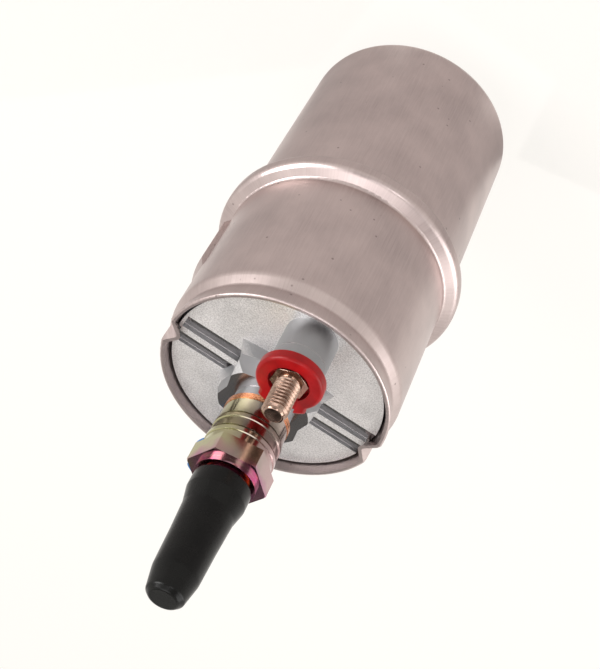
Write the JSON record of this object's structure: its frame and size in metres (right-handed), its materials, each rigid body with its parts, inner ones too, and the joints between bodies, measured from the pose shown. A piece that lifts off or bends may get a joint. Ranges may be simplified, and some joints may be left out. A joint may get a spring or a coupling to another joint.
{
  "type": "fuel pump",
  "caption": "Electric in-line fuel pump: drawn can with a rolled bead, cast end cover, threaded terminal studs, threaded inlet, and a capped check valve with a threaded outlet.",
  "frame": {"origin": "centre of the inlet boss's end face, on the pump's axis", "axes": "+Z along the can from inlet to outlet, +X along the end cover's cross rib towards the end that has the locating pad beside it, and the positive terminal on the -Y side"},
  "size_m": [0.0672, 0.0672, 0.1932],
  "materials": {
    "can_steel": "satin, drawn and handled",
    "cast_alloy": "matt, as cast",
    "ground_steel": "ground",
    "spring_steel": "drawn wire and strip",
    "black_steel": "black oxide",
    "zinc_steel": "zinc plated",
    "laminations": "stacked sheet, varnished",
    "magnet_ferrite": "ground ferrite",
    "winding_copper": "enamelled copper",
    "copper": "bare copper",
    "brass": "stamped or turned",
    "sintered_bronze": "sintered",
    "carbon": "pressed carbon",
    "black_moulding": "moulded",
    "natural_moulding": "moulded",
    "red_moulding": "moulded",
    "blue_moulding": "moulded",
    "stud_plating": "copper-tinted nickel",
    "yellow_zinc": "yellow chromate on zinc",
    "seal_rubber": "moulded",
    "cap_rubber": "satin, dip moulded"
  },
  "bodies": {
    "housing": {"can": "can_steel", "inlet_cover": "cast_alloy", "inlet_seal": "seal_rubber", "inlet_screen": "brass", "cam_ring": "ground_steel", "port_plate": "cast_alloy", "stage_screws": "black_steel", "stage_dowels": "ground_steel", "relief_spring": "spring_steel", "lower_bush": "sintered_bronze", "upper_bush": "sintered_bronze", "flux_ring": "zinc_steel", "north_magnet": "magnet_ferrite", "south_magnet": "magnet_ferrite", "magnet_clips": "spring_steel", "brush_holder": "black_moulding", "negative_brush_spring": "spring_steel", "positive_brush_spring": "spring_steel", "negative_contact": "brass", "positive_contact": "brass", "end_cover": "cast_alloy", "cover_seal": "seal_rubber", "negative_insulator": "blue_moulding", "positive_insulator": "red_moulding", "negative_stud": "stud_plating", "positive_stud": "stud_plating", "stud_seals": "seal_rubber", "inner_insulators": "black_moulding", "terminal_nuts": "zinc_steel", "sealing_washer": "copper", "valve_body": "yellow_zinc", "valve_seat": "brass", "valve_spring": "spring_steel"},
    "armature": {"rotor": "ground_steel", "rollers": "ground_steel", "shaft": "ground_steel", "thrust_washers": "ground_steel", "armature_core": "laminations", "windings": "winding_copper", "commutator_hub": "black_moulding", "commutator_bars": "copper"},
    "relief_ball": {"relief_ball": "ground_steel"},
    "poppet": {"valve_poppet": "natural_moulding", "poppet_seal": "seal_rubber"},
    "negative_brush": {"negative_brush": "carbon"},
    "positive_brush": {"positive_brush": "carbon"},
    "cap": {"protective_cap": "cap_rubber"}
  },
  "joints": [
    {"name": "armature_spin", "type": "hinge", "parent": "housing", "child": "armature", "pos_m": [0, 0, 0.06], "axis": [0, 0, 1], "continuous": true},
    {"name": "check_valve_lift", "type": "slide", "parent": "housing", "child": "poppet", "axis": [0, 0, 1], "range_m": [0, 0.002], "stiffness_N_per_m": 150, "springref_m": -0.004, "deforming": ["valve_spring"]},
    {"name": "relief_valve_lift", "type": "slide", "parent": "housing", "child": "relief_ball", "axis": [0, 0, -1], "range_m": [0, 0.0015], "stiffness_N_per_m": 200, "springref_m": -0.005, "deforming": ["relief_spring"]},
    {"name": "positive_brush_slide", "type": "slide", "parent": "housing", "child": "positive_brush", "axis": [0, -1, 0], "range_m": [0, 0.003], "stiffness_N_per_m": 300, "springref_m": -0.006, "deforming": ["positive_brush_spring"]},
    {"name": "negative_brush_slide", "type": "slide", "parent": "housing", "child": "negative_brush", "axis": [0, 1, 0], "range_m": [0, 0.003], "stiffness_N_per_m": 300, "springref_m": -0.006, "deforming": ["negative_brush_spring"]},
    {"name": "cap_pull", "type": "slide", "parent": "housing", "child": "cap", "axis": [0, 0, 1], "range_m": [0, 0.035]}
  ]
}
